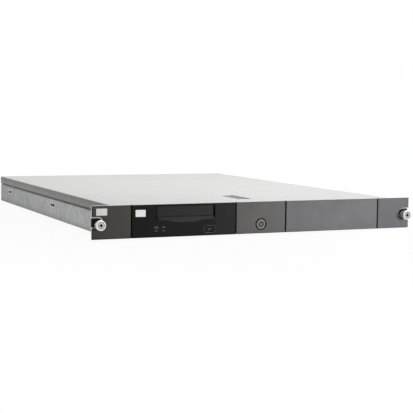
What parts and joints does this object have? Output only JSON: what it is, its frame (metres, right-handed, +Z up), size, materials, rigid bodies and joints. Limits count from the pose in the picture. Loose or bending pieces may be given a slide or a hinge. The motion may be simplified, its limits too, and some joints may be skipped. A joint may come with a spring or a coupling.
{
  "type": "rack drive enclosure",
  "caption": "Low rack-mount steel enclosure with grey front sections, a black tape drive behind a flap door, a blank bay filler, power button, sliding cover and captive rack screws.",
  "frame": {"origin": "middle of the overall box, on the underside of the case floor", "axes": "+X to the right of a viewer facing the front, +Y from the front to the back, +Z up"},
  "size_m": [0.4826, 0.6162, 0.0438],
  "materials": {
    "case_steel": "zinc-coated sheet",
    "rear_steel": "zinc-coated sheet",
    "cover_steel": "satin sheet",
    "ear_steel": "bright zinc",
    "insert_black": "moulded",
    "grey_moulding": "fine texture",
    "filler_moulding": "fine texture",
    "drive_black": "fine texture",
    "door_black": "satin",
    "eject_black": "satin",
    "button_grey": "satin",
    "latch_grey": "fine texture",
    "dish_steel": "satin",
    "nickel": "bright nickel",
    "screw_steel": "bright zinc",
    "zinc_fixings": "bright zinc",
    "pin_steel": "ground",
    "spring_steel": "drawn wire",
    "board_green": "solder mask",
    "switch_black": "moulded",
    "lamp_clear": "frosted",
    "drive_case": "zinc-coated sheet",
    "carrier_steel": "bright sheet",
    "bracket_steel": "zinc-coated sheet",
    "connector_black": "moulded",
    "fan_black": "moulded",
    "guard_wire": "bright plated wire",
    "port_metal": "plated shell",
    "inlet_black": "moulded",
    "pin_brass": "plated brass",
    "supply_steel": "zinc-coated sheet",
    "ribbon_grey": "flat ribbon",
    "lead_black": "sleeved"
  },
  "bodies": {
    "chassis": {"chassis_tray": "case_steel", "rear_panel": "rear_steel", "rack_ear_left": "ear_steel", "rack_ear_right": "ear_steel", "notch_inserts": "insert_black", "ear_bezel_left": "grey_moulding", "ear_bezel_right": "grey_moulding", "centre_bezel": "grey_moulding", "drive_bezel": "drive_black", "screw_retainers": "screw_steel", "ear_screws": "zinc_fixings", "drive_screws": "zinc_fixings", "fan_screws": "zinc_fixings", "jack_posts": "zinc_fixings", "door_pin": "pin_steel", "screw_spring_left": "spring_steel", "screw_spring_right": "spring_steel", "power_button_spring": "spring_steel", "eject_spring": "spring_steel", "power_board": "board_green", "drive_front_board": "board_green", "push_switches": "switch_black", "lamp_windows": "lamp_clear", "drive_housing": "drive_case", "cartridge_carrier": "carrier_steel", "drive_bracket_left": "bracket_steel", "drive_bracket_right": "bracket_steel", "spare_brackets": "bracket_steel", "drive_data_connector": "connector_black", "drive_power_connector": "connector_black", "fan_frame_left": "fan_black", "fan_frame_right": "fan_black", "fan_guards": "guard_wire", "data_port_drive": "port_metal", "data_port_spare": "port_metal", "power_inlet": "inlet_black", "inlet_pins": "pin_brass", "power_supply": "supply_steel", "data_ribbon": "ribbon_grey", "spare_ribbon": "ribbon_grey", "drive_power_lead": "lead_black", "button_lead": "lead_black"},
    "cover": {"top_cover": "cover_steel", "cover_screws": "zinc_fixings", "latch_dish": "dish_steel", "latch_pin": "pin_steel"},
    "latch": {"latch_lever": "latch_grey"},
    "door": {"cartridge_door": "door_black"},
    "eject": {"eject_button": "eject_black"},
    "power": {"power_button": "button_grey"},
    "washer_left": {"thrust_washer_left": "screw_steel"},
    "screw_left": {"thumb_knob_left": "nickel", "thumb_screw_left": "screw_steel"},
    "washer_right": {"thrust_washer_right": "screw_steel"},
    "screw_right": {"thumb_knob_right": "nickel", "thumb_screw_right": "screw_steel"},
    "fan_left": {"fan_rotor_left": "fan_black"},
    "fan_right": {"fan_rotor_right": "fan_black"},
    "filler": {"bay_filler": "filler_moulding"}
  },
  "joints": [
    {"name": "cover_slide", "type": "slide", "parent": "chassis", "child": "cover", "axis": [0, 1, 0], "range_m": [0, 0.012]},
    {"name": "latch_lift", "type": "hinge", "parent": "cover", "child": "latch", "pos_m": [0, -0.18715, 0.0405], "axis": [-1, 0, 0], "range_deg": [0, 60]},
    {"name": "door_swing", "type": "hinge", "parent": "chassis", "child": "door", "pos_m": [-0.1118, -0.29395, 0.0399], "axis": [1, 0, 0], "range_deg": [0, 85], "stiffness_Nm_per_rad": 0.002},
    {"name": "eject_press", "type": "slide", "parent": "chassis", "child": "eject", "axis": [0, 1, 0], "range_m": [0, 0.0015], "stiffness_N_per_m": 300, "deforming": ["eject_spring"]},
    {"name": "power_press", "type": "slide", "parent": "chassis", "child": "power", "axis": [0, 1, 0], "range_m": [0, 0.0016], "stiffness_N_per_m": 300, "deforming": ["power_button_spring"]},
    {"name": "screw_push_left", "type": "slide", "parent": "chassis", "child": "washer_left", "axis": [0, 1, 0], "range_m": [0, 0.0032], "stiffness_N_per_m": 400, "deforming": ["screw_spring_left"]},
    {"name": "screw_spin_left", "type": "hinge", "parent": "washer_left", "child": "screw_left", "pos_m": [-0.23255, -0.30195, 0.0193], "axis": [0, 1, 0], "continuous": true},
    {"name": "screw_push_right", "type": "slide", "parent": "chassis", "child": "washer_right", "axis": [0, 1, 0], "range_m": [0, 0.0032], "stiffness_N_per_m": 400, "deforming": ["screw_spring_right"]},
    {"name": "screw_spin_right", "type": "hinge", "parent": "washer_right", "child": "screw_right", "pos_m": [0.23255, -0.30195, 0.0193], "axis": [0, 1, 0], "continuous": true},
    {"name": "fan_spin_left", "type": "hinge", "parent": "chassis", "child": "fan_left", "pos_m": [0.014, 0.29205, 0.0212], "axis": [0, 1, 0], "continuous": true},
    {"name": "fan_spin_right", "type": "hinge", "parent": "chassis", "child": "fan_right", "pos_m": [0.06, 0.29205, 0.0212], "axis": [0, 1, 0], "continuous": true},
    {"name": "filler_pull", "type": "slide", "parent": "chassis", "child": "filler", "axis": [0, -1, 0], "range_m": [0, 0.03]}
  ],
  "couplings": [
    {"joint": "latch_lift", "follows": "cover_slide", "rad_per_m": 87}
  ]
}
